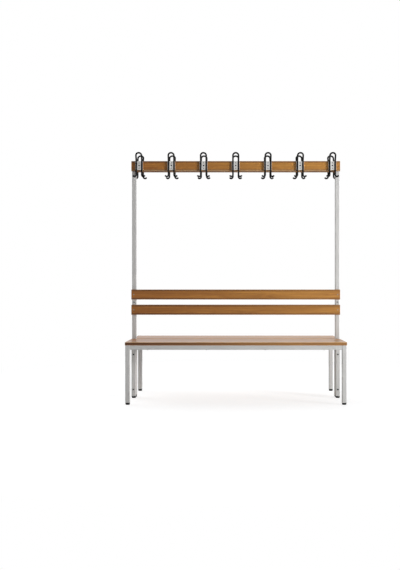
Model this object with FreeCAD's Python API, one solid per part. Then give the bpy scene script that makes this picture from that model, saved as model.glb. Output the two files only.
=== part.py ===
import FreeCAD, Part
import math
import os

# A double sided changing room bench, in millimetres.
# X runs along the bench, Y across it (the front is -Y) and Z up from the floor.
# The origin is on the floor in the middle of the bench.

V = FreeCAD.Vector
UP = V(0, 0, 1)
DOWN = V(0, 0, -1)
ALONG = V(1, 0, 0)
ACROSS = V(0, 1, 0)

# Whole bench, its length over the legs
bench_length = 1500.0
seat_depth = 350.0
seat_height = 425.0

# Square steel tube of the legs, seat rails and uprights
tube_size = 30.0
tube_wall = 2.0
tube_corner = 3.0
tube_inner_corner = 1.0
rail_setback = 1.5

# Seat boards
seat_thickness = 22.0
seat_edge_round = 4.0

# Back boards and hook rails, all cut from one kind of board
board_height = 72.0
board_thickness = 20.0
board_edge_round = 3.0
lower_board_bottom = 599.0
back_board_gap = 38.0
hook_rail_top = 1707.0

# Ends of all the boards, the seats among them
board_overhang = 2.5
board_end_round = 1.0

# Uprights
upright_floor_gap = 30.0
upright_cap_drop = 4.0
stub_overhang = 20.0

# Feet
pad_height = 11.0
pad_radius = 15.0
pad_bottom_round = 5.0
pad_top_round = 1.0
pad_floor = 4.0
stud_radius = 4.0
stud_length = 46.0
stud_end_chamfer = 1.0

# Plastic plugs and caps in the tube ends
plug_flange = 3.0
plug_depth = 22.0
cap_flange = 3.0
cap_depth = 16.0
flange_edge_round = 0.8

# Wire coat hooks
hooks_per_side = 7
hook_end_inset = 54.0
wire_radius = 6.0
hook_gauge = 40.0
hook_lean_degrees = 27.0
hook_lean_bend_radius = 20.0
hook_lean_run = 30.0
curl_radius = 14.0
curl_turn_degrees = 135.0
curl_splay_degrees = 30.0
curl_drop = 27.5
curl_tip_run = 4.0
curl_tip_round = 2.0

# Hook plates
plate_width = 56.0
plate_height = 64.0
plate_thickness = 3.0
plate_corner = 3.0
plate_lift = 3.0

# Screws of the hook plates
plate_screw_offset = 19.0
plate_screw_radius = 2.0
plate_screw_length = 18.0
plate_screw_head_radius = 3.8
plate_screw_head_height = 2.2

# Bolts with barrel nuts through both hook plates and both hook rails
rail_bolt_radius = 2.5
rail_bolt_head_radius = 4.75
rail_bolt_head_height = 2.75
barrel_radius = 3.5
barrel_length = 24.0
rail_bolt_reach = 18.0
sleeve_radius = 8.0

# Countersunk screws of the back boards
back_screw_radius = 2.2
back_screw_length = 30.0
back_screw_head_radius = 4.5
back_screw_head_depth = 2.7

# Screws from below into the seat boards
seat_screws_per_rail = 4
seat_screw_inset = 120.0
seat_screw_radius = 2.4
seat_screw_bite = 13.0
seat_screw_head_radius = 4.6
seat_screw_head_height = 2.4

# Clamp bolts through the inner legs and the uprights
clamp_bolt_heights = [62.0, 314.0]
clamp_bolt_radius = 3.0
clamp_head_radius = 5.25
clamp_head_height = 3.3
clamp_nut_radius = 5.6
clamp_nut_height = 5.0
clamp_nut_dome_radius = 4.6
clamp_nut_dome_height = 5.0
clamp_bolt_reach = 6.0

# Plugs in the holes of the uprights between the back boards
hole_plug_radius = 3.2
hole_plug_length = 6.0
hole_plug_head_radius = 4.5
hole_plug_head_height = 1.5

# Drive recess in a screw or bolt head, as shares of that head's radius and height
recess_reach_share = 0.55
recess_width_share = 0.2
recess_depth_share = 0.6
head_round_share = 0.45

# Clearances
thread_clearance = 0.05
screw_clearance = 0.05
bolt_clearance = 0.25
barrel_clearance = 0.1
plug_clearance = 0.2
socket_clearance = 0.05

# Places worked out from the sizes above
half_length = bench_length / 2
half_tube = tube_size / 2
leg_x = half_length - half_tube
inner_leg_y = tube_size
outer_leg_y = half_tube + seat_depth - half_tube
inner_rail_y = inner_leg_y + rail_setback
outer_rail_y = outer_leg_y - rail_setback
frame_top = seat_height - seat_thickness
rail_z = frame_top - half_tube
leg_bottom = pad_height + plug_flange
board_y = half_tube + board_thickness / 2
board_face_y = half_tube + board_thickness
plate_face_y = board_face_y + plate_thickness
upper_board_bottom = lower_board_bottom + board_height + back_board_gap
hook_rail_z = hook_rail_top - board_height / 2
plate_z = hook_rail_z + plate_lift
between_boards_z = lower_board_bottom + board_height + back_board_gap / 2
upright_top = hook_rail_top - upright_cap_drop - cap_flange
end_hook_x = half_length - hook_end_inset
hook_pitch = 2 * end_hook_x / (hooks_per_side - 1)
hook_places = [n * hook_pitch - end_hook_x for n in range(hooks_per_side)]
tube_bore = tube_size - 2 * tube_wall
rail_hole_radius = barrel_radius + barrel_clearance

sides = {"left": -1, "right": 1}
faces = {"front": -1, "rear": 1}
leg_rows = {
    "front_outer": -outer_leg_y,
    "front_inner": -inner_leg_y,
    "rear_inner": inner_leg_y,
    "rear_outer": outer_leg_y,
}
rail_rows = {
    "front_outer": -outer_rail_y,
    "front_inner": -inner_rail_y,
    "rear_inner": inner_rail_y,
    "rear_outer": outer_rail_y,
}
back_boards = {"lower": lower_board_bottom, "upper": upper_board_bottom}


# Helpers for shapes and places

def moved(shape, x=0, y=0, z=0):
    """A copy of the shape, carried by x, y and z."""
    return shape.transformed(FreeCAD.Placement(V(x, y, z), FreeCAD.Rotation()).toMatrix(), True)


def facing(shape, point, direction):
    """A copy of a shape drawn along +Z, turned to a direction with its origin at a point."""
    turn = FreeCAD.Rotation(UP, direction)
    return shape.transformed(FreeCAD.Placement(point, turn).toMatrix(), True)


def edges_along(shape, direction):
    """The straight edges of a shape that run in a direction."""
    found = []
    for edge in shape.Edges:
        way = edge.Vertexes[-1].Point.sub(edge.Vertexes[0].Point)
        if way.Length > 0 and way.cross(direction).Length < way.Length / 2:
            found.append(edge)
    return found


def bar(x_size, y_size, z_size, corner, along):
    """A box centred on the origin, with the edges that run along one direction rounded."""
    box = Part.makeBox(x_size, y_size, z_size, V(-x_size / 2, -y_size / 2, -z_size / 2))
    return box.makeFillet(corner, edges_along(box, along))


def wooden_board(y_size, z_size, edge_round):
    """A board centred on the origin, a little longer than the frame, with softened edges."""
    board = bar(bench_length + 2 * board_overhang, y_size, z_size, edge_round, ALONG)
    rims = [edge for edge in board.Edges if edge.BoundBox.XLength < edge_round]
    return board.makeFillet(board_end_round, rims)


def square_tube(length, along):
    """A length of square tube centred on the origin, running along one direction."""
    outer_size = [tube_size + (length - tube_size) * share for share in along]
    bore_size = [tube_bore + (length - tube_bore) * share for share in along]
    outer = bar(*outer_size, tube_corner, along)
    return outer.cut(bar(*bore_size, tube_inner_corner, along))


def hole(radius, point, direction, depth):
    """A round cutter that starts at a point and runs in a direction."""
    return Part.makeCylinder(radius, depth, point, direction)


def ring_edge(shape, height):
    """The circular edges of a turned shape that lie at one height."""
    return [edge for edge in shape.Edges
            if len(edge.Vertexes) == 1 and abs(edge.Vertexes[0].Z - height) < edge.Length / 1000]


def domed_head(radius, height):
    """A low domed head that sits on z = 0, with a cross recess in its top."""
    head = Part.makeCylinder(radius, height)
    head = head.makeFillet(height * head_round_share, ring_edge(head, height))
    return head.cut(cross_recess(radius, height))


def cross_recess(radius, height):
    """The cutter of a cross recess in a head of this radius, whose top is at this height."""
    reach = 2 * radius * recess_reach_share
    width = radius * recess_width_share
    depth = height * recess_depth_share
    slot = Part.makeBox(reach, width, depth, V(-reach / 2, -width / 2, height - depth))
    other = Part.makeBox(width, reach, depth, V(-width / 2, -reach / 2, height - depth))
    return slot.fuse(other)


def headed_screw(radius, length, head_radius, head_height):
    """A screw along Z whose head sits on z = 0 and whose shank reaches down."""
    shank = Part.makeCylinder(radius, length, V(0, 0, 0), DOWN)
    return domed_head(head_radius, head_height).fuse(shank).removeSplitter()


def countersunk_screw():
    """A back board screw whose flat head is flush with z = 0."""
    head = Part.makeCone(back_screw_head_radius, back_screw_radius, back_screw_head_depth,
                         V(0, 0, 0), DOWN)
    shank = Part.makeCylinder(back_screw_radius, back_screw_length, V(0, 0, 0), DOWN)
    recess = moved(cross_recess(back_screw_head_radius, back_screw_head_depth),
                   z=-back_screw_head_depth)
    return head.fuse(shank).cut(recess).removeSplitter()


def countersink():
    """The cutter that the back board screw's head and shank need in a board."""
    mouth = back_screw_head_radius + screw_clearance
    throat = back_screw_radius + screw_clearance
    cone = Part.makeCone(mouth, throat, back_screw_head_depth, V(0, 0, 0), DOWN)
    shank = Part.makeCylinder(throat, back_screw_length, V(0, 0, 0), DOWN)
    return cone.fuse(shank)


# Seat frames

def make_leg(x, y):
    """One leg, from its plug to the underside of the seat, drilled if it is an inner one."""
    length = frame_top - leg_bottom
    leg = moved(square_tube(length, UP), x, y, leg_bottom + length / 2)
    if abs(y) < outer_leg_y:
        for z in clamp_bolt_heights:
            start = V(x, y - tube_size, z)
            leg = leg.cut(hole(clamp_bolt_radius + bolt_clearance, start, ACROSS, 2 * tube_size))
    return leg


def seat_screw_places():
    """The places of the seat screws along a long rail."""
    reach = half_length - tube_size - seat_screw_inset
    step = 2 * reach / (seat_screws_per_rail - 1)
    return [n * step - reach for n in range(seat_screws_per_rail)]


def make_long_rail(y):
    """A rail between two legs of one row, drilled upwards for the seat screws."""
    rail = moved(square_tube(bench_length - 2 * tube_size, ALONG), 0, y, rail_z)
    for x in seat_screw_places():
        start = V(x, y, rail_z - tube_size)
        rail = rail.cut(hole(seat_screw_radius + screw_clearance, start, UP, 2 * tube_size))
    return rail


def make_end_rail(side, face):
    """A rail that joins the outer and the inner leg at one end of a seat frame."""
    length = outer_leg_y - inner_leg_y - tube_size
    middle = (outer_leg_y + inner_leg_y) / 2
    return moved(square_tube(length, ACROSS), side * leg_x, face * middle, rail_z)


def make_seat(face):
    """A seat board with the blind holes of its screws."""
    middle = face * (half_tube + seat_depth / 2)
    board = wooden_board(seat_depth, seat_thickness, seat_edge_round)
    board = moved(board, 0, middle, seat_height - seat_thickness / 2)
    for y in (face * inner_rail_y, face * outer_rail_y):
        for x in seat_screw_places():
            start = V(x, y, frame_top - tube_wall)
            depth = tube_wall + seat_screw_bite
            board = board.cut(hole(seat_screw_radius + screw_clearance, start, UP, depth))
    return board


def make_seat_screws():
    """The screws that reach up through the long rails into the seat boards."""
    screw = headed_screw(seat_screw_radius, tube_size + seat_screw_bite,
                         seat_screw_head_radius, seat_screw_head_height)
    return [facing(screw, V(x, y, frame_top - tube_size), DOWN)
            for y in rail_rows.values() for x in seat_screw_places()]


# Feet and tube ends

def tube_plug(flange, depth):
    """A square plug along Z: its flange lies below z = 0 and its spigot reaches up the tube."""
    spigot_size = tube_bore - 2 * plug_clearance
    plate = bar(tube_size, tube_size, flange, tube_corner, UP)
    lower_rim = [edge for edge in plate.Edges if edge.BoundBox.ZMax < 0]
    plate = moved(plate.makeFillet(flange_edge_round, lower_rim), z=-flange / 2)
    spigot = moved(bar(spigot_size, spigot_size, depth, tube_inner_corner, UP), z=depth / 2)
    return plate.fuse(spigot).removeSplitter()


def make_leg_plugs():
    """The threaded plugs in the lower ends of the legs."""
    bore_radius = stud_radius + thread_clearance
    bore = hole(bore_radius, V(0, 0, -plug_flange), UP, plug_flange + plug_depth)
    plug = tube_plug(plug_flange, plug_depth).cut(bore)
    return [moved(plug, side * leg_x, y, leg_bottom)
            for y in leg_rows.values() for side in sides.values()]


def make_pad():
    """The round black foot, standing on z = 0, with a socket for its stud."""
    pad = Part.makeCylinder(pad_radius, pad_height)
    pad = pad.makeFillet(pad_bottom_round, ring_edge(pad, 0))
    pad = pad.makeFillet(pad_top_round, ring_edge(pad, pad_height))
    return pad.cut(hole(stud_radius + socket_clearance, V(0, 0, pad_floor), UP, pad_height))


def make_stud():
    """The foot's threaded stud, from the floor of its socket up into the leg."""
    stud = Part.makeCylinder(stud_radius, stud_length, V(0, 0, pad_floor))
    return stud.makeChamfer(stud_end_chamfer, ring_edge(stud, pad_floor + stud_length))


def make_upright_caps():
    """The caps in the upper ends of the uprights."""
    cap = tube_plug(cap_flange, cap_depth)
    return [facing(cap, V(side * leg_x, 0, upright_top), DOWN) for side in sides.values()]


# Uprights and what ties them to the seat frames

def make_upright(side):
    """A tall tube between the inner legs, with the holes of its bolts, screws and plugs."""
    x = side * leg_x
    length = upright_top - upright_floor_gap
    upright = moved(square_tube(length, UP), x, 0, upright_floor_gap + length / 2)
    cuts = [(z, clamp_bolt_radius + bolt_clearance) for z in clamp_bolt_heights]
    cuts.append((between_boards_z, hole_plug_radius + screw_clearance))
    for bottom in back_boards.values():
        cuts.append((bottom + board_height / 2, back_screw_radius + screw_clearance))
    for z, radius in cuts:
        upright = upright.cut(hole(radius, V(x, -tube_size, z), ACROSS, 2 * tube_size))
    return upright


def make_hole_plugs():
    """The small domed plugs in the uprights' spare holes."""
    head = Part.makeCylinder(hole_plug_head_radius, hole_plug_head_height)
    head = head.makeFillet(hole_plug_head_height * head_round_share,
                           ring_edge(head, hole_plug_head_height))
    stem = Part.makeCylinder(hole_plug_radius, hole_plug_length, V(0, 0, 0), DOWN)
    plug = head.fuse(stem).removeSplitter()
    return [facing(plug, V(side * leg_x, face * half_tube, between_boards_z), ACROSS * face)
            for side in sides.values() for face in faces.values()]


def make_clamp_bolts():
    """The bolts, with their cap nuts, that clamp each upright between two inner legs."""
    outside = inner_leg_y + half_tube
    bolt = headed_screw(clamp_bolt_radius, 2 * outside + clamp_bolt_reach,
                        clamp_head_radius, clamp_head_height)
    corners = [V(clamp_nut_radius * math.cos(math.radians(60 * n)),
                 clamp_nut_radius * math.sin(math.radians(60 * n)), 0) for n in range(7)]
    nut = Part.Face(Part.makePolygon(corners)).extrude(UP * clamp_nut_height)
    dome_top = clamp_nut_height + clamp_nut_dome_height
    dome = Part.makeCylinder(clamp_nut_dome_radius, dome_top)
    dome = dome.makeFillet(clamp_nut_dome_height * head_round_share, ring_edge(dome, dome_top))
    bore = hole(clamp_bolt_radius + thread_clearance, V(0, 0, 0), UP, clamp_bolt_reach)
    nut = nut.fuse(dome).cut(bore).removeSplitter()
    solids = []
    for side in sides.values():
        for z in clamp_bolt_heights:
            solids.append(facing(bolt, V(side * leg_x, -outside, z), -ACROSS))
            solids.append(facing(nut, V(side * leg_x, outside, z), ACROSS))
    return solids


def make_rail_stubs():
    """The tube stubs on the uprights, between the two hook rails, at the end hook bolts."""
    outer_x = half_length - tube_size
    inner_x = end_hook_x - stub_overhang
    solids = []
    for side in sides.values():
        middle = side * (outer_x + inner_x) / 2
        stub = moved(square_tube(outer_x - inner_x, ALONG), middle, 0, plate_z)
        start = V(side * end_hook_x, -tube_size, plate_z)
        solids.append(stub.cut(hole(rail_hole_radius, start, ACROSS, 2 * tube_size)))
    return solids


# Back boards and hook rails

def make_back_board(face, bottom):
    """A back board with a countersunk hole at each upright."""
    board = wooden_board(board_thickness, board_height, board_edge_round)
    middle = bottom + board_height / 2
    board = moved(board, 0, face * board_y, middle)
    for side in sides.values():
        place = V(side * leg_x, face * board_face_y, middle)
        board = board.cut(facing(countersink(), place, ACROSS * face))
    return board


def make_hook_rail(face):
    """A hook rail with its bolt holes and the blind holes of the plate screws."""
    board = wooden_board(board_thickness, board_height, board_edge_round)
    board = moved(board, 0, face * board_y, hook_rail_z)
    outside = face * board_face_y
    for x in hook_places:
        through = hole(rail_hole_radius, V(x, outside, plate_z), ACROSS * -face, board_thickness)
        board = board.cut(through)
        for offset in (-plate_screw_offset, plate_screw_offset):
            start = V(x, outside, plate_z + offset)
            board = board.cut(hole(plate_screw_radius + screw_clearance, start, ACROSS * -face,
                                   plate_screw_length - plate_thickness + screw_clearance))
    return board


def make_board_screws():
    """The screws of the back boards and of the hook plates."""
    flush = countersunk_screw()
    domed = headed_screw(plate_screw_radius, plate_screw_length,
                         plate_screw_head_radius, plate_screw_head_height)
    solids = []
    for face in faces.values():
        for bottom in back_boards.values():
            for side in sides.values():
                place = V(side * leg_x, face * board_face_y, bottom + board_height / 2)
                solids.append(facing(flush, place, ACROSS * face))
        for x in hook_places:
            for offset in (-plate_screw_offset, plate_screw_offset):
                place = V(x, face * plate_face_y, plate_z + offset)
                solids.append(facing(domed, place, ACROSS * face))
    return solids


# Coat hooks

def make_hook_plates(face):
    """The plates of one side, each with a bolt hole and two screw holes."""
    plate = bar(plate_width, plate_thickness, plate_height, plate_corner, ACROSS)
    start = V(0, -plate_thickness, 0)
    plate = plate.cut(hole(rail_hole_radius, start, ACROSS, 2 * plate_thickness))
    for offset in (-plate_screw_offset, plate_screw_offset):
        start = V(0, -plate_thickness, offset)
        plate = plate.cut(hole(plate_screw_radius + screw_clearance, start, ACROSS,
                               2 * plate_thickness))
    middle = face * (board_face_y + plate_thickness / 2)
    return [moved(plate, x, middle, plate_z) for x in hook_places]


def wire_run(start, end):
    """A straight stretch of wire between two points."""
    way = end.sub(start)
    return Part.makeCylinder(wire_radius, way.Length, start, way)


def wire_bend(start, centre, axis, degrees):
    """A stretch of wire bent round a centre, from a start point on the bend's middle line."""
    tangent = axis.cross(start.sub(centre))
    section = Part.Face(Part.Wire(Part.makeCircle(wire_radius, start, tangent)))
    return section.revolve(centre, axis, degrees)


def make_hook_wire():
    """A front hook wire at x = 0: an arch that leans out, two legs and two curls that splay.

    From the arch down, each leg leans back to the plate, runs straight down over it and curls up
    again, in a plane turned away from the rail by the splay. The tip runs on along the curl's end.
    """
    leg_y = -(plate_face_y + wire_radius)
    lean = math.radians(hook_lean_degrees)
    lean_way = V(0, -math.sin(lean), math.cos(lean))
    curl_z = hook_rail_top - board_height - curl_drop
    splay = math.radians(curl_splay_degrees)
    curl_way = V(math.cos(splay), -math.sin(splay), 0)
    turn = math.radians(curl_turn_degrees)
    tip_way = curl_way * math.sin(turn) - UP * math.cos(turn)

    leg_foot = V(hook_gauge / 2, leg_y, curl_z)
    leg_head = V(hook_gauge / 2, leg_y, hook_rail_top)
    curl_centre = leg_foot + curl_way * curl_radius
    tip_foot = curl_centre - (curl_way * math.cos(turn) + UP * math.sin(turn)) * curl_radius
    lean_centre = leg_head + V(0, -hook_lean_bend_radius, 0)
    lean_foot = lean_centre + V(0, math.cos(lean), math.sin(lean)) * hook_lean_bend_radius
    lean_head = lean_foot + lean_way * hook_lean_run
    arch_centre = lean_head - V(hook_gauge / 2, 0, 0)

    tip = Part.makeCylinder(wire_radius, curl_tip_run)
    tip = tip.makeFillet(curl_tip_round, ring_edge(tip, curl_tip_run))
    half = [
        facing(tip, tip_foot, tip_way),
        wire_bend(leg_foot, curl_centre, UP.cross(curl_way), -curl_turn_degrees),
        wire_run(leg_foot, leg_head),
        wire_bend(leg_head, lean_centre, ALONG, hook_lean_degrees),
        wire_run(lean_foot, lean_head),
    ]
    other_half = [piece.mirror(V(0, 0, 0), ALONG) for piece in half]
    arch = wire_bend(lean_head, arch_centre, ALONG.cross(lean_way), 180)
    return arch.multiFuse(half + other_half).removeSplitter()


def make_hook_bolts():
    """The bolts through each pair of hook plates, and their barrel nuts."""
    bolt_length = 2 * plate_face_y - barrel_length + rail_bolt_reach
    bolt = headed_screw(rail_bolt_radius, bolt_length, rail_bolt_head_radius, rail_bolt_head_height)
    barrel = headed_screw(barrel_radius, barrel_length, rail_bolt_head_radius, rail_bolt_head_height)
    bore = hole(rail_bolt_radius + thread_clearance, V(0, 0, -barrel_length), UP,
                rail_bolt_reach + thread_clearance)
    barrel = barrel.cut(bore)
    solids = []
    for x in hook_places:
        solids.append(facing(bolt, V(x, -plate_face_y, plate_z), -ACROSS))
        solids.append(facing(barrel, V(x, plate_face_y, plate_z), ACROSS))
    return solids


def make_spacer_sleeves():
    """The sleeves round the inner hook bolts, which keep the two hook rails apart."""
    bore = Part.makeCylinder(rail_hole_radius, tube_size)
    sleeve = Part.makeCylinder(sleeve_radius, tube_size).cut(bore)
    return [facing(sleeve, V(x, -half_tube, plate_z), ACROSS) for x in hook_places[1:-1]]


# The nodes of the bench

def make_nodes():
    """Every node of the bench by name, each a solid or a list of solids."""
    nodes = {}
    pad = make_pad()
    stud = make_stud()
    for row, y in leg_rows.items():
        for side, sign in sides.items():
            nodes[f"leg_{row}_{side}"] = make_leg(sign * leg_x, y)
            nodes[f"foot_pad_{row}_{side}"] = moved(pad, sign * leg_x, y)
            nodes[f"foot_stud_{row}_{side}"] = moved(stud, sign * leg_x, y)
        nodes[f"long_rail_{row}"] = make_long_rail(rail_rows[row])
    for face, direction in faces.items():
        for side, sign in sides.items():
            nodes[f"end_rail_{face}_{side}"] = make_end_rail(sign, direction)
        for level, bottom in back_boards.items():
            nodes[f"back_board_{face}_{level}"] = make_back_board(direction, bottom)
        nodes[f"seat_board_{face}"] = make_seat(direction)
        nodes[f"hook_rail_{face}"] = make_hook_rail(direction)
        nodes[f"hook_plates_{face}"] = make_hook_plates(direction)
    for side, sign in sides.items():
        nodes[f"upright_{side}"] = make_upright(sign)
    front_wire = make_hook_wire()
    rear_wire = front_wire.mirror(V(0, 0, 0), ACROSS)
    for number, x in enumerate(hook_places, start=1):
        nodes[f"hook_wires_{number}"] = [moved(front_wire, x), moved(rear_wire, x)]
    nodes["leg_plugs"] = make_leg_plugs()
    nodes["upright_caps"] = make_upright_caps()
    nodes["rail_stubs"] = make_rail_stubs()
    nodes["spacer_sleeves"] = make_spacer_sleeves()
    nodes["hole_plugs"] = make_hole_plugs()
    nodes["clamp_bolts"] = make_clamp_bolts()
    nodes["hook_bolts"] = make_hook_bolts()
    nodes["board_screws"] = make_board_screws()
    nodes["seat_screws"] = make_seat_screws()
    return nodes


os.makedirs("parts", exist_ok=True)
whole = FreeCAD.BoundBox()
for name, made in make_nodes().items():
    shape = Part.makeCompound(made) if isinstance(made, list) else made
    shape.exportStep(f"parts/{name}.step")
    whole.add(shape.optimalBoundingBox())
    print(name, len(shape.Solids), "solids", round(shape.Volume / 1000, 1), "cm3", shape.isValid())
print("whole bench", round(whole.XLength, 1), round(whole.YLength, 1), round(whole.ZLength, 1))
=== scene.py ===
# %% [markdown]
# # A double sided changing room bench
#
# This lesson dresses a finished CAD model of a changing room bench. Two low benches stand back to
# back. Two tall steel tubes rise between them and carry four back boards, two hook rails and
# seven pairs of coat hooks. The CAD model already has the real sizes, so what is left is what the
# eye reads: paint, wood, coated wire, weld beads and light.

import bpy
import numpy as np
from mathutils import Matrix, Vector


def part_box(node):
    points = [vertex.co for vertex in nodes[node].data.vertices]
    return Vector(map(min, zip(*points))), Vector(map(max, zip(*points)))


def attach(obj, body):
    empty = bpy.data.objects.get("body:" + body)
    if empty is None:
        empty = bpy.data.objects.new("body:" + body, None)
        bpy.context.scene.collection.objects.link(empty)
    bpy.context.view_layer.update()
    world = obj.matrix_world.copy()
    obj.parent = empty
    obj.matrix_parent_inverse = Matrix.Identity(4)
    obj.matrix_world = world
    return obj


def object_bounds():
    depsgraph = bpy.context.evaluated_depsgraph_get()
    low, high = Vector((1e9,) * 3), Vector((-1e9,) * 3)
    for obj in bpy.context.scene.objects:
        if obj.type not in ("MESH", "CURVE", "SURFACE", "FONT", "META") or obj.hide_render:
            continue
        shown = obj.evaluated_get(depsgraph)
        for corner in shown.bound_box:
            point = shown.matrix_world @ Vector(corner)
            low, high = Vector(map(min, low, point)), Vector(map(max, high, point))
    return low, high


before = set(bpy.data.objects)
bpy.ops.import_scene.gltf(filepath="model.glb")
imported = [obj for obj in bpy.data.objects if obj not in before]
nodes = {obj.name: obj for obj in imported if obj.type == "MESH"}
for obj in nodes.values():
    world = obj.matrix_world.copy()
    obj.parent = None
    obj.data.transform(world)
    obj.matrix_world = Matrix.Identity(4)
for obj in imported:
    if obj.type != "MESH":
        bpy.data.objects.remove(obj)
cad_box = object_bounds()
print("nodes:", len(nodes), "box:", [list(corner) for corner in cad_box])

# %% [markdown]
# ## A small language for finishes
#
# A finish is a network of shader nodes. Built by hand it is a page of clicks, and built call by
# call it is a page of code that hides the idea. Wrapping each output socket in a class with
# Python's operators lets a finish be written as the sum that it is, such as
# `rough = 0.3 + 0.1 * grain`, and each operator adds its own Math node.


# %% Colours as on a web page
def colour(code):
    """The six digits of a web colour, as the linear numbers that shaders use: c / 12.92 for the
    darkest tones and ((c + 0.055) / 1.055) ^ 2.4 for the rest."""
    parts = np.array([int(code[n : n + 2], 16) for n in (0, 2, 4)]) / 255
    linear = np.where(parts <= 0.04045, parts / 12.92, ((parts + 0.055) / 1.055) ** 2.4)
    return (*linear.tolist(), 1.0)


print("the web's middle grey is", round(colour("808080")[0], 3), "of the light of white")


# %% Node values that do arithmetic
class Value:
    """What comes out of a shader node. Sums on it add Math nodes."""

    def __init__(self, finish, socket):
        self.finish = finish
        self.socket = socket

    def math(self, operation, *numbers):
        """One Math node on values and plain numbers."""
        return self.finish.node("ShaderNodeMath", {"operation": operation}, numbers)

    def __add__(self, other):
        return self.math("ADD", self, other)

    def __sub__(self, other):
        return self.math("SUBTRACT", self, other)

    def __rsub__(self, other):
        return self.math("SUBTRACT", other, self)

    def __mul__(self, other):
        return self.math("MULTIPLY", self, other)

    def __truediv__(self, other):
        return self.math("DIVIDE", self, other)

    def __pow__(self, other):
        return self.math("POWER", self, other)

    def __abs__(self):
        return self.math("ABSOLUTE", self)

    __radd__ = __add__
    __rmul__ = __mul__


# %% A node tree that is written as a list of sums
class Finish:
    """A node tree under construction, for a material or for the world."""

    def __init__(self, owner):
        owner.use_nodes = True
        self.tree = owner.node_tree
        self.tree.nodes.clear()

    def node(self, kind, settings=None, inputs=(), out=0):
        """Adds one node: first its settings, then the values or links of its sockets."""
        made = self.tree.nodes.new(kind)
        for name, setting in (settings or {}).items():
            if name == "stops":
                self.set_stops(made.color_ramp, setting)
            else:
                setattr(made, name, setting)
        pairs = inputs.items() if isinstance(inputs, dict) else enumerate(inputs)
        for name, given in pairs:
            if isinstance(given, Value):
                self.tree.links.new(given.socket, made.inputs[name])
            else:
                made.inputs[name].default_value = given
        if isinstance(out, tuple):
            return [Value(self, made.outputs[name]) for name in out]
        return Value(self, made.outputs[out]) if len(made.outputs) else made

    @staticmethod
    def set_stops(ramp, stops):
        """Gives a colour ramp its stops, each a place from 0 to 1 and a grey."""
        while len(ramp.elements) < len(stops):
            ramp.elements.new(0.5)
        for element, (place, grey) in zip(ramp.elements, stops):
            element.position = place
            element.color = (grey, grey, grey, 1.0)

    def vector(self, x, y, z):
        """Three numbers as one vector."""
        return self.node("ShaderNodeCombineXYZ", None, (x, y, z))

    def parts(self, vector):
        """The three numbers of a vector."""
        return self.node("ShaderNodeSeparateXYZ", None, (vector,), out=(0, 1, 2))

    def place(self):
        """The point on the piece, as three numbers in metres."""
        return self.parts(self.node("ShaderNodeTexCoord", None, (), out="Object"))

    def facing(self):
        """The way the surface faces, as three numbers from 0 to 1 without their signs."""
        normal = self.node("ShaderNodeNewGeometry", None, (), out="Normal")
        return [abs(part) for part in self.parts(normal)]

    def noise(self, vector, scale=1.0, detail=2.0, roughness=0.5):
        """Smooth noise from 0 to 1, with about scale patches to a metre."""
        sockets = {"Vector": vector, "Scale": scale, "Detail": detail, "Roughness": roughness}
        return self.node("ShaderNodeTexNoise", None, sockets)

    def chance(self, number, out="Value"):
        """White noise from 0 to 1, the same wherever the number is the same."""
        settings = {"noise_dimensions": "1D"}
        return self.node("ShaderNodeTexWhiteNoise", settings, {"W": number}, out=out)

    def ramp(self, value, *stops):
        """A curve through grey stops."""
        return self.node("ShaderNodeValToRGB", {"stops": stops}, (value,))

    def between(self, value, low, high):
        """0 before low, 1 past high, and a smooth step from one to the other."""
        settings = {"interpolation_type": "SMOOTHSTEP"}
        return self.node("ShaderNodeMapRange", settings, (value, low, high, 0.0, 1.0))

    def rounding(self):
        """0 on flat faces that face along an axis and 1 halfway round a rounded edge."""
        x, y, z = self.facing()
        widest = x.math("MAXIMUM", x.math("MAXIMUM", x, y), z)
        return self.between(widest, 1.0, 0.72)

    def mix(self, share, first, second, blend="MIX"):
        """A colour between two others."""
        settings = {"data_type": "RGBA", "blend_type": blend}
        return self.node("ShaderNodeMix", settings, {0: share, 6: first, 7: second}, out=2)

    def coats(self, body, *tints):
        """A colour under one tint after another, each a share from 0 to 1 and a web colour."""
        for share, code in tints:
            body = self.mix(share, body, colour(code))
        return body

    def bump(self, height, depth):
        """Relief that is depth metres from its lowest to its highest."""
        sockets = {"Strength": 1.0, "Distance": depth, "Height": height}
        return self.node("ShaderNodeBump", None, sockets)

    def surface(self, sockets):
        """The finished surface, from the named sockets of the main shader."""
        shader = self.node("ShaderNodeBsdfPrincipled", None, sockets)
        self.node("ShaderNodeOutputMaterial", None, (shader,))


# %% [markdown]
# ## Lacquered hardwood boards
#
# The boards are planed hardwood, stained golden brown and lacquered. Real grain is not a picture
# stuck on a face. It is a stack of growth rings about a heart line, cut by the saw. So the finish
# is worked out in space: the distance to a heart line that runs along the board gives the rings,
# noise stretched along the board gives the fibres, and the end grain shows arcs by itself. Each
# board has its own heart line, because no two boards come from the same place in a log.


# %% The grain of a board
ring_width = 0.0042
ring_drift = 0.05
fibre_shift = 0.0006
heart_slope = 0.010
print("rings to a metre:", round(1.0 / ring_width))


def stretched_noise(wood, place, along, across, shift=(0.0, 0.0), **kind):
    """Noise with so many patches to a metre along the board, and so many across it."""
    x, y, z = place
    return wood.noise(wood.vector(x * along, y * across + shift[0], z * across + shift[1]), **kind)


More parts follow.
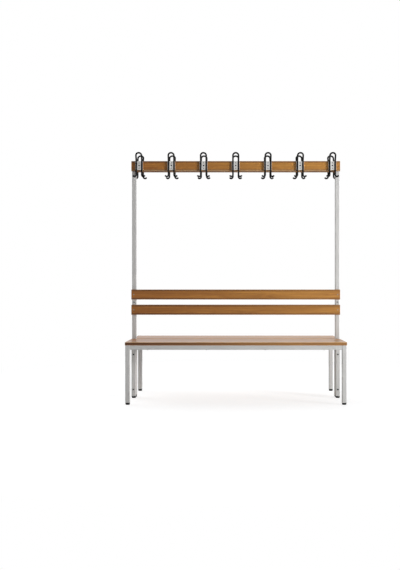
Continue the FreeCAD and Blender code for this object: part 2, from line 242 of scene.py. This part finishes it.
def grain(wood, place, heart, seed, shift):
    """Rings are fract(r / ring_width), where r is the distance to the heart line (y, z) plus a
    slow drift, and the heart line runs a little aslant. Late wood is dark at the end of each
    ring, by a chance of its own. Fibres, streaks and pores are noises stretched along X."""
    x, y, z = place
    drift = stretched_noise(wood, place, 1.1, 6, shift, detail=2.0)
    streaks = stretched_noise(wood, place, 2.2, 70, shift, detail=3.0)
    fibres = stretched_noise(wood, place, 22, 950, (0.0, seed), detail=3.0, roughness=0.6)
    pores = stretched_noise(wood, place, 130, 2400, (0.0, seed), detail=1.0)
    pores = wood.between(pores, 0.60, 0.70)
    slope = heart_slope * np.sin(seed * 2.3)
    across = y - heart[0] + x * slope
    up = z - heart[1] + x * slope * 0.6
    distance = (across * across + up * up) ** 0.5
    distance = distance + (drift - 0.5) * ring_drift + (fibres - 0.5) * fibre_shift
    rings = distance / ring_width
    year = rings.math("FLOOR", rings)
    late = wood.ramp(rings - year, (0.0, 0.25), (0.45, 0.0), (0.86, 1.0), (1.0, 0.25))
    late = late * (0.35 + 0.65 * wood.chance(year))
    body = wood.mix(wood.between(streaks, 0.28, 0.72), colour("a06a2c"), colour("bf863b"))
    pale_fibres = wood.between(fibres, 0.35, 0.75)
    body = wood.coats(
        body, (late * 0.42, "7f4819"), (pale_fibres * 0.35, "c99548"), (pores * 0.45, "6a3a13")
    )
    return body, drift, streaks, fibres, late, pores


# %% [markdown]
# A seat is wider than any one board, so it is glued from narrow strips. Each strip comes from
# another place in the log, which shows as small jumps in tone and grain. That is one jump of the
# grain's coordinates for each strip, and the strip's number says how far.


# %% The strips of a seat
strip_width = 0.05
strip_jump_y = 0.9
strip_jump_z = 0.05
strip_key = 0.731
glue_from, glue_to = 0.494, 0.499
dark_strip = (0.84, 0.80, 0.76, 1.0)
pale_strip = (1.06, 1.05, 1.04, 1.0)


def glued_strips(wood, place, seed, shift):
    """floor(y / strip_width) is a strip's number, and what is left over is the way across it,
    from 0 to 1, with the glue at both ends. White noise on the number gives the strip's tone
    and its jump in the log."""
    x, y, z = place
    strips = y / strip_width
    number = strips.math("FLOOR", strips)
    glue_line = wood.between(abs(strips - number - 0.5), glue_from, glue_to)
    chance, jump = wood.chance(number * strip_key + seed, ("Value", "Color"))
    jump_x, jump_y, jump_z = wood.parts(jump)
    place = (x, y + jump_y * strip_jump_y, z + (jump_z - 0.5) * strip_jump_z)
    tone = wood.mix(chance, dark_strip, pale_strip)
    return place, (shift[0] + jump_x, shift[1]), tone, glue_line


# %% [markdown]
# ## What years of use do to a board, and the light and shade painted on it
#
# Hands and clothes wear the corners of a board pale. Near its long edges its face is painted
# darker, a painted shade that is deepest at the left end, away from the lamp. A seat is painted
# paler along its front, a painted sheen, and its coat is shinier there. Its front face is painted
# darker as painted shade, and the upper half of its rounded corner is painted pale as a highlight.
# A hook rail has a painted highlight in a band above its lower edge, and a painted shade on the
# edge under that band. Each mask is a distance from an edge of the board, and the edges are read
# from the CAD model, so it lies right on every board.


# %% Wear and painted light on a seat and on a rail
seat_front = cad_box[1][1]
painted_sheen_and_polish_outer, painted_sheen_and_polish_inner = 0.005, 0.115
painted_edge_shade_outer, painted_edge_shade_inner = 0.008, 0.016
painted_shade_line_outer, painted_shade_line_inner = 0.003, 0.0045
highlight_band_outer, highlight_band_inner = 0.0065, 0.009
print("seats end", round(seat_front, 4), "m from the middle of the bench")


def seat_wear_and_painted_light(wood, place, edge, front_face, along, rubs):
    """The seat's tints, its pale share and its added polish. The paler front strip, a painted
    sheen, and the polish with it grow from the inner to the outer distance from the seat's front
    edge at |y| = seat_front. The front face is painted darker, a painted shade that is deepest at
    the left end. The pale share is a painted highlight on the upper half of the rounded corner."""
    middle, half = edge
    painted_sheen_and_polish = wood.between(seat_front - abs(place[1]), painted_sheen_and_polish_inner, painted_sheen_and_polish_outer)
    upper = wood.between(place[2] - middle, 0.0, half)
    # Painted light: the paler front strip is a painted sheen, and the darker front face is painted
    # shade, deepest at the left end
    tints = ((painted_sheen_and_polish * 0.25, "dcb480"), ((0.96 - 0.38 * along) * front_face, "4f2a0e"))
    # Painted highlight: the upper half of the rounded corner is painted pale
    worn = wood.rounding() * upper * (0.75 + 0.2 * rubs)
    return tints, worn, painted_sheen_and_polish * (1.0 - front_face) * 0.4


def rail_wear_and_painted_light(wood, place, edge, front_face, along, rubs, rubbed):
    """The same three for an upright board: a painted shade near its long edges, deepest at the left
    end, and on a hook rail a painted highlight band above the lower edge with a painted shade line
    under it, besides the worn corners. Each mask rises between two distances from the board's
    middle: half its height less the inner and the outer distance from its edge."""
    middle, half = edge
    below = middle - place[2]
    # Painted shade: the rim near the long edges of the front face is darker, deepest at the left
    # end
    painted_edge_shade = wood.between(abs(below), half - painted_edge_shade_inner, half - painted_edge_shade_outer)
    # Painted shade on a hook rail's lower edge, and a painted highlight band just above it
    painted_shade_line = wood.between(below, half - painted_shade_line_inner, half - painted_shade_line_outer)
    highlight_band = wood.between(below, half - highlight_band_inner, half - highlight_band_outer) * (1.0 - painted_shade_line)
    painted_edge_shade_share = painted_edge_shade * front_face * (0.85 - 0.3 * along)
    tints = ((painted_edge_shade_share, "5b3414"), (painted_shade_line * (1.2 * rubbed), "3a1d0a"))
    worn = wood.rounding() * (0.25 + 0.35 * rubs) * (1.0 - painted_shade_line * (2.0 * rubbed))
    return tints, worn + highlight_band * (1.5 * rubbed), 0.0


# %% The wood finish
log_shift_y, log_shift_z = 0.37, 0.61
# Painted shade: towards the bench's left end, away from the lamp, the board's tone is darkened to
# these shares
shade_darkest_until, shade_gone_from = -0.95, 0.4
painted_left_shade = (0.78, 0.64, 0.55)
grain_relief = 0.00006


def lacquered_wood(name, heart, edge, seed, tone, seat=False, rubbed=0.0):
    """Grain, then the board's tone with a painted shade that darkens its left end most, away from
    the lamp, then the end grain, painted shade and highlights near the edges, and the wear. The
    edge is the board's (middle, half height). A seat is cut into strips, and rubbed says how strong
    a rail's painted highlight band above its lower edge, and the painted shade line under it, are."""
    material = bpy.data.materials.new(name)
    wood = Finish(material)
    place = wood.place()
    shift = (seed * log_shift_y, seed * log_shift_z)
    if seat:
        log_place, shift, strip_tone, glue_line = glued_strips(wood, place, seed, shift)
    else:
        log_place = place
    body, drift, streaks, fibres, late, pores = grain(wood, log_place, heart, seed, shift)
    # Painted shade: along goes from 0 at the left end to 1, and the colour darkens towards 0
    along = wood.between(place[0] + (drift - 0.5) * 0.5, shade_darkest_until, shade_gone_from)
    left_shaded_tone = tuple(tone * part for part in painted_left_shade) + (1.0,)
    tone_and_painted_shade = wood.mix(along, left_shaded_tone, (tone, tone, tone, 1.0))
    body = wood.mix(1.0, body, tone_and_painted_shade, "MULTIPLY")
    if seat:
        body = wood.mix(1.0, body, strip_tone, "MULTIPLY")
        body = wood.coats(body, (glue_line * 0.5, "5c3415"))
    facing_x, facing_y, _ = wood.facing()
    end_face = wood.between(facing_x, 0.5, 0.9)
    front_face = wood.between(facing_y, 0.85, 0.99)
    rubs = wood.between(stretched_noise(wood, log_place, 9, 40), 0.5, 0.7)
    if seat:
        tints, worn, polish = seat_wear_and_painted_light(wood, place, edge, front_face, along, rubs)
    else:
        tints, worn, polish = rail_wear_and_painted_light(wood, place, edge, front_face, along, rubs, rubbed)
    # The tints are painted shade and highlights. The pale worn share is wear on a board's corners,
    # and a painted highlight on a seat's corner and in a rail's band
    body = wood.coats(body, (end_face * 0.55, "6b3f1c"), *tints, (worn, "e2bb86"))
    wood.surface(
        {
            "Base Color": body,
            "Roughness": 0.36 + 0.14 * fibres - 0.06 * late + 0.22 * end_face + 0.1 * worn,
            "Specular IOR Level": 0.38,
            "Coat Weight": 0.22 + (streaks - 0.5) * 0.2 + polish,
            "Coat Roughness": 0.2,
            "Normal": wood.bump(fibres * 0.5 + late * 0.3 - pores * 0.6, grain_relief),
        }
    )
    return material


# %% [markdown]
# ## Powder coated steel
#
# The tubes are painted with a pale grey powder that melts in an oven. It leaves a skin with a fine
# dimple like orange peel, a soft sheen, and a little grey dust and rubbing low down where shoes
# touch. Paint is thin on rounded corners, so these wear first.


# %% The tube paint
paint_dimples = 900.0
paint_relief = 0.00005
scuffed_below, most_scuffed = 0.16, 0.01


def powder_coat(name, shade, dark, light):
    """Slow clouds of a second shade, grains of a light one, and two noises for the dimples: one
    fine and one four times finer. Scuffs are long upright rubs near the floor, and a corner is
    worn where the same rubs cross it."""
    material = bpy.data.materials.new(name)
    paint = Finish(material)
    x, y, z = paint.place()
    point = paint.vector(x, y, z)
    dimples = paint.noise(point, scale=paint_dimples, detail=1.0)
    grains = paint.noise(point, scale=paint_dimples * 4, detail=1.0)
    clouds = paint.noise(point, scale=7.0, detail=3.0)
    rubs = paint.noise(paint.vector(x * 60, y * 60, z * 9), detail=4.0, roughness=0.65)
    scuff = paint.between(z, scuffed_below, most_scuffed) * paint.between(rubs, 0.52, 0.72)
    worn = paint.rounding() * paint.between(rubs, 0.5, 0.66)
    body = paint.mix(paint.between(clouds, 0.3, 0.7), colour(dark), colour(shade))
    light_grains = paint.between(grains, 0.45, 0.75)
    body = paint.coats(
        body, (light_grains * 0.25, light), (worn * 0.35, light), (scuff * 0.45, "77776f")
    )
    paint.surface(
        {
            "Base Color": body,
            "Roughness": 0.42 + 0.1 * clouds + 0.12 * scuff - 0.08 * worn,
            "Specular IOR Level": 0.45,
            "Normal": paint.bump(dimples * 0.8 + grains * 0.2, paint_relief),
        }
    )
    return material


# %% [markdown]
# ## Coated wire, plastic and plated steel
#
# The hooks are steel wire under a black coating, which coats and hangers polish where they rub.
# Plugs, caps and feet are moulded plastic with a fine grain. Screws are plated with zinc, which is
# bright but never even. All of them are small, so each finish has one clear idea and little more.


# %% The small finishes
coating_relief = 0.00004
scratch_relief = 0.00002


def black_coating(name, shade, rough, dimples_to_a_metre, rub):
    """A dark skin with dimples whose tops are painted a little paler, a painted highlight, and slow
    clouds that make it greyer and smoother where it was rubbed, by the share rub."""
    material = bpy.data.materials.new(name)
    skin = Finish(material)
    point = skin.vector(*skin.place())
    dimples = skin.noise(point, scale=dimples_to_a_metre, detail=2.0)
    rubbed = skin.between(skin.noise(point, scale=45.0, detail=3.0), 0.5, 0.7)
    dimple_highlights = skin.between(dimples, 0.55, 0.75)
    # Painted highlight: the tops of the dimples are painted paler
    body = skin.coats(colour(shade), (rubbed * rub, "2a2b2e"), (dimple_highlights * 0.3, "161719"))
    skin.surface(
        {
            "Base Color": body,
            "Roughness": rough + 0.16 * dimples - 0.08 * rubbed,
            "Specular IOR Level": 0.14,
            "Normal": skin.bump(dimples, coating_relief),
        }
    )
    return material


def plated_steel(name, shade, second, rough):
    """Bright metal with clouds of a second shade, and level scratches: a noise nine times
    finer along Z than along X and Y."""
    material = bpy.data.materials.new(name)
    metal = Finish(material)
    x, y, z = metal.place()
    clouds = metal.noise(metal.vector(x, y, z), scale=260.0, detail=3.0)
    scratches = metal.noise(metal.vector(x * 300, y * 300, z * 2600), detail=2.0)
    body = metal.mix(metal.between(clouds, 0.3, 0.7), colour(shade), colour(second))
    metal.surface(
        {
            "Base Color": body,
            "Metallic": 1.0,
            "Roughness": rough + 0.14 * clouds + 0.08 * scratches,
            "Normal": metal.bump(scratches, scratch_relief),
        }
    )
    return material


# %% Give each CAD piece its finish
def dress(material, *names):
    """Puts one finish on every CAD piece whose name starts with one of the names."""
    count = 0
    for node, piece in nodes.items():
        if node.startswith(names):
            piece.data.materials.clear()
            piece.data.materials.append(material)
            count += 1
    print(material.name, "on", count, "pieces")


tube_paint = powder_coat("tube_paint", shade="c0bfbd", dark="bab9b7", light="cfcecc")
plate_steel = plated_steel("plate_steel", "f4f2ee", "fbfaf7", rough=0.24)
zinc = plated_steel("zinc", "8a8983", "aaa79e", rough=0.36)
wire_coating = black_coating("wire_coating", "060607", 0.42, 1400.0, rub=0.2)
dark_plastic = black_coating("dark_plastic", "121314", 0.48, 2200.0, rub=0.3)
foot_plastic = black_coating("foot_plastic", "060606", 0.52, 1800.0, rub=0.4)
dark_steel = black_coating("dark_steel", "08080a", 0.34, 2600.0, rub=0.2)
dress(tube_paint, "leg_front", "leg_rear", "long_rail", "end_rail", "rail_stubs")
dress(tube_paint, "upright_left", "upright_right")
dress(plate_steel, "hook_plates")
dress(wire_coating, "hook_wires")
dress(dark_plastic, "leg_plugs", "upright_caps", "hole_plugs")
dress(foot_plastic, "foot_pad")
dress(dark_steel, "hook_bolts", "clamp_bolts")
dress(zinc, "foot_stud", "board_screws", "seat_screws", "spacer_sleeves")

# %% [markdown]
# ## A finish for each board
#
# The eight boards share one finish with other numbers in it. The seats are painted the palest,
# which stands in for the sheen of the light that grazes their tops. Of the back boards, the lower
# ones are painted a shade darker, as painted shade. A seat's heart line runs under it, halfway
# through the jump of its strips, so that the strips come from both sides of the log. An upright
# board's heart line runs a little behind it, and not at the same height on any two neighbours.

# %% A board at a time
seat_heart_depth = 0.09
board_heart_depth = 0.055
board_heart_drop, board_heart_step = 0.03, 0.02
# Painted light: the seats' tone is a painted sheen, and the lower back boards' tone is painted
# shade
seat_painted_sheen_tone, upper_tone, lower_painted_shade_tone = 1.33, 0.94, 0.88
seat_seed, board_seed, board_seed_step = 3.1, 1.7, 1.3
# How strong a hook rail's painted highlight band and painted shade line are
hook_rail_painted_light = 0.4

board_names = [name for name in nodes if name.startswith(("back_board", "seat_board", "hook_rail"))]
for count, name in enumerate(sorted(board_names)):
    low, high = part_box(name)
    middle = (low + high) / 2
    edge = (middle.z, (high.z - low.z) / 2)
    label = name + "_wood"
    if name.startswith("seat_board"):
        heart = (middle.y + strip_jump_y / 2, middle.z - seat_heart_depth)
        finish = lacquered_wood(label, heart, edge, seat_seed + count, seat_painted_sheen_tone, seat=True)
    else:
        outward = 1 if middle.y > 0 else -1
        heart_z = middle.z - board_heart_drop + board_heart_step * (count % 3)
        heart = (middle.y - outward * board_heart_depth, heart_z)
        tone = lower_painted_shade_tone if name.endswith("lower") else upper_tone
        rubbed = hook_rail_painted_light if name.startswith("hook_rail") else 0.0
        seed = board_seed + board_seed_step * count
        finish = lacquered_wood(label, heart, edge, seed, tone, rubbed=rubbed)
    dress(finish, name)

# %% [markdown]
# ## Weld beads
#
# The tubes are welded where a rail meets a leg, and the bead shows through the paint as a row of
# small ripples. The outer faces are ground flat and only a thin groove is left there. A Bevel
# modifier could only round an edge, so each bead is a mesh of its own: a round bar with a ripple,
# carried along a path that goes under the rail and up its inner side. The beads of each bench make
# one piece.


# %% A bead carried along a path
def bead(path, across, radius, sides=10, step=0.0006, pitch=0.0022, ripple=0.12):
    """P(s, a) = path(s) + r(s) (cos a n + sin a b), where n and b are square to the path and n
    lies near across. r(s) = radius (1 - ripple |sin(pi s / pitch)|), drawn in over one radius
    at each end, as sqrt(1 - (1 - t)^2) with t = s / radius, but never under 0.02."""
    path = np.asarray(path, float)
    lengths = np.r_[0.0, np.cumsum(np.linalg.norm(np.diff(path, axis=0), axis=1))]
    rings = int(np.ceil(lengths[-1] / step)) + 1
    s = np.linspace(0.0, lengths[-1], rings)
    centre = np.stack([np.interp(s, lengths, path[:, axis]) for axis in range(3)], axis=1)
    along = np.gradient(centre, axis=0)
    along /= np.linalg.norm(along, axis=1, keepdims=True)
    side = np.cross(along, np.asarray(across, float))
    side /= np.linalg.norm(side, axis=1, keepdims=True)
    up = np.cross(side, along)
    swell = 1.0 - ripple * np.abs(np.sin(np.pi * s / pitch))
    tip = np.clip(np.minimum(s, lengths[-1] - s) / radius, 0.02, 1.0)
    reach = radius * swell * np.sqrt(1.0 - (1.0 - tip) ** 2)
    turn = np.linspace(0.0, 2 * np.pi, sides, endpoint=False)
    ring = np.cos(turn)[None, :, None] * up[:, None] + np.sin(turn)[None, :, None] * side[:, None]
    return centre[:, None] + reach[:, None, None] * ring


def tube_piece(name, tubes, material):
    """One mesh from grids of points, each closed round its rings and capped at both ends."""
    points, faces, first = [], [], 0
    for grid in tubes:
        rings, sides = grid.shape[:2]
        ring, side = np.meshgrid(np.arange(rings - 1), np.arange(sides), indexing="ij")
        after = (side + 1) % sides
        here, ahead = ring * sides, (ring + 1) * sides
        quads = np.stack([here + side, here + after, ahead + after, ahead + side], axis=-1)
        faces += (quads.reshape(-1, 4) + first).tolist()
        faces.append((first + np.arange(sides)[::-1]).tolist())
        faces.append((first + (rings - 1) * sides + np.arange(sides)).tolist())
        points.append(grid.reshape(-1, 3))
        first += rings * sides
    mesh = bpy.data.meshes.new(name)
    mesh.from_pydata(np.concatenate(points).tolist(), [], faces)
    mesh.polygons.foreach_set("use_smooth", np.ones(len(mesh.polygons), bool))
    mesh.materials.append(material)
    piece = bpy.data.objects.new(name, mesh)
    bpy.context.collection.objects.link(piece)
    print(name, "faces", len(mesh.polygons))
    return piece


# %% The path of each bead
tube_corner = 0.003
bead_radius = 0.0021
bead_bite = 0.0012
bead_top_gap = 0.0015
groove_share, under_share = 0.4, 0.2
corner_points = 6


def rail_bead(low, high, axis, end, outer):
    """The path under a rail's end, from its outer face to its inner one, round that corner and
    up to the seat. With a from 90 degrees to 0 on the corner, the depth is
    inner - way c (1 - cos a) and the height is bottom + c (1 - sin a), c the tube's corner
    radius. axis is 0 for a long rail and 1 for an end rail, and end and outer are -1 or 1."""
    other = 1 - axis
    joint = high[axis] if end > 0 else low[axis]
    groove = joint + end * bead_bite
    corner = joint - end * bead_bite * groove_share
    start, inner = (low[other], high[other]) if outer < 0 else (high[other], low[other])
    way = -outer
    bottom = low[2] + bead_bite * under_share
    angle = np.linspace(np.pi / 2, 0.0, corner_points)
    places = np.zeros((corner_points + 2, 3))
    places[0, [axis, other, 2]] = corner, start + way * tube_corner, bottom
    places[1:-1, axis] = groove + (corner - groove) * angle / angle[0]
    places[1:-1, other] = inner - way * (bead_bite + tube_corner * (1 - np.cos(angle)))
    places[1:-1, 2] = bottom + tube_corner * (1 - np.sin(angle))
    places[-1, [axis, other, 2]] = groove, inner - way * bead_bite, high[2] - bead_top_gap
    return places


# %% Lay the beads
for face in ("front", "rear"):
    beads = []
    seat_middle = sum(np.array(corner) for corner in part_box("seat_board_" + face)) / 2
    for name in sorted(nodes):
        if name.startswith(("long_rail_" + face, "end_rail_" + face)):
            low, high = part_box(name)
            axis = 0 if name.startswith("long") else 1
            outer = np.sign(low[1 - axis] + high[1 - axis] - 2 * seat_middle[1 - axis])
            for end in (-1, 1):
                path = rail_bead(low, high, axis, end, outer)
                beads.append(bead(path, np.eye(3)[axis], bead_radius))
    piece = tube_piece("weld_beads_" + face, beads, tube_paint)
    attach(piece, "frame")

# %% [markdown]
# ## The floor
#
# The bench stands in a plain white studio, on a floor that keeps a faint shadow of it and turns
# into the white backdrop further off. A plain white diffuse floor would come out grey, because
# no lamp lights it as much as white needs. So the camera sees it mixed with a white that glows,
# half and half near the bench and all white far away. Every other ray meets a pale matt floor.

# %% The floor
floor_reach = 30.0
matt_radius, white_radius = 1.3, 2.8
near_glow, far_glow = 1.5, 1.0
near_share = 0.48


def floor_finish():
    """A diffuse floor, under an emission that only the camera sees. With f from 0 at
    matt_radius to 1 at white_radius, its strength goes from near_glow to far_glow, and its
    share from near_share to 1."""
    material = bpy.data.materials.new("studio_floor")
    floor = Finish(material)
    x, y, z = floor.place()
    fine = floor.noise(floor.vector(x, y, z), scale=60.0, detail=3.0)
    pale = floor.mix(fine, colour("eceef0"), colour("f2f4f6"))
    matt = floor.node("ShaderNodeBsdfDiffuse", None, {"Color": pale})
    far = floor.between((x * x + y * y) ** 0.5, matt_radius, white_radius)
    glow = near_glow + (far_glow - near_glow) * far
    white = floor.node("ShaderNodeEmission", None, {"Color": (1, 1, 1, 1), "Strength": glow})
    camera_ray = floor.node("ShaderNodeLightPath", None, (), out="Is Camera Ray")
    share = camera_ray * (near_share + (1.0 - near_share) * far)
    mixed = floor.node("ShaderNodeMixShader", None, {0: share, 1: matt, 2: white})
    floor.node("ShaderNodeOutputMaterial", None, (mixed,))
    return material


floor_mesh = bpy.data.meshes.new("studio_floor")
corners = np.array([[-1, -1, 0], [1, -1, 0], [1, 1, 0], [-1, 1, 0]]) * floor_reach
floor_mesh.from_pydata(corners.tolist(), [], [[0, 1, 2, 3]])
floor_mesh.materials.append(floor_finish())
floor_piece = bpy.data.objects.new("studio_floor", floor_mesh)
bpy.context.collection.objects.link(floor_piece)
print("floor", 2 * floor_reach, "m across, white from", white_radius, "m")

# %% [markdown]
# ## The light
#
# Most of the light comes from one square lamp at the right, a little in front. It throws each
# hook's shadow to the left, and because it is near, the left end of the bench is darker. The
# room adds the rest. It is bright behind the bench and brightest behind its left end, where it
# lights the seats and the rear, and it is dark on the lamp's side, which has light enough.
#
# The backdrop has to be white whatever the light does. So the world tells rays apart. The
# camera sees white. A ray that a glossy face mirrors, or that goes through a clear one, sees a
# room that is white behind the bench and greyer in front of it, most so at the left, so that
# lacquer and steel have something to show. Only what is left lights the bench.

# %% The room
room_all_round, room_behind, room_behind_left, room_above = 0.04, 0.56, 1.4, 0.2
room_right_loss = 0.8
mirrored_left, mirrored_right = 0.15, 0.90

world = bpy.data.worlds.new("studio")
bpy.context.scene.world = world
room = Finish(world)
rays = ("Is Camera Ray", "Is Glossy Ray", "Is Transmission Ray")
camera_ray, glossy_ray, clear_ray = room.node("ShaderNodeLightPath", None, (), out=rays)
# A ray's direction has three parts from -1 to 1: to the right, to the back and up
side, depth, height = room.parts(room.node("ShaderNodeTexCoord", None, (), out="Generated"))
behind = room.between(depth, -0.55, 0.25)
far_behind = room.between(depth, -0.15, 0.45)
left = room.between(side, 0.2, -0.9)
right = room.between(side, 0.0, 0.8)
above = room.between(height, 0.0, 0.8)
light = room_all_round + room_behind * behind + room_behind_left * left * far_behind
light = (light + room_above * above) * (1.0 - room_right_loss * right)
to_the_right = room.between(side, -0.6, 0.5)
mirrored_front = mirrored_left + (mirrored_right - mirrored_left) * to_the_right
mirrored = mirrored_front + (1.0 - mirrored_front) * behind
strength = light + glossy_ray.math("MAXIMUM", glossy_ray, clear_ray) * (mirrored - light)
strength = strength + camera_ray * (1.0 - strength)
backdrop = room.node("ShaderNodeBackground", None, {"Color": (1, 1, 1, 1), "Strength": strength})
room.node("ShaderNodeOutputWorld", None, (backdrop,))
print("room nodes:", len(room.tree.nodes))

# %% The lamp
lamp_place = np.array([5.4, -3.05, 1.0])
lamp_aim = np.array([0.0, 0.0, 0.8])
lamp_size = 1.5
lamp_watts = 396.0

lamp = bpy.data.lights.new("right_lamp", "AREA")
lamp.shape = "SQUARE"
lamp.size = lamp_size
lamp.energy = lamp_watts
lamp_stand = bpy.data.objects.new("right_lamp", lamp)
lamp_stand.location = lamp_place
way = lamp_aim - lamp_place
tilt = np.arctan2(np.hypot(way[0], way[1]), -way[2])
lamp_stand.rotation_euler = (tilt, 0.0, np.arctan2(way[1], way[0]) - np.pi / 2)
bpy.context.collection.objects.link(lamp_stand)
print("lamp", round(float(np.linalg.norm(way)), 2), "m from the bench")

# %% [markdown]
# ## The camera
#
# The camera looks straight ahead along Y, so that the uprights stay upright in the picture, and
# its shift moves the bench to its place in the frame. Its distance and height came from the
# feet: the rows of legs at three depths converge, and how much they do depends on both.

# %% The camera
camera_place = (-0.025, -5.497, 0.793)

camera = bpy.data.cameras.new("camera")
camera.lens = 47.87
camera.sensor_width = 36.0
camera.shift_x = -0.0566
camera.shift_y = 0.00504
eye = bpy.data.objects.new("camera", camera)
eye.location = camera_place
eye.rotation_euler = (np.pi / 2, 0.0, 0.0)
bpy.context.collection.objects.link(eye)
bpy.context.scene.camera = eye
bpy.context.scene.view_settings.view_transform = "Standard"
print("camera at", camera_place, "with a lens of", camera.lens, "mm")
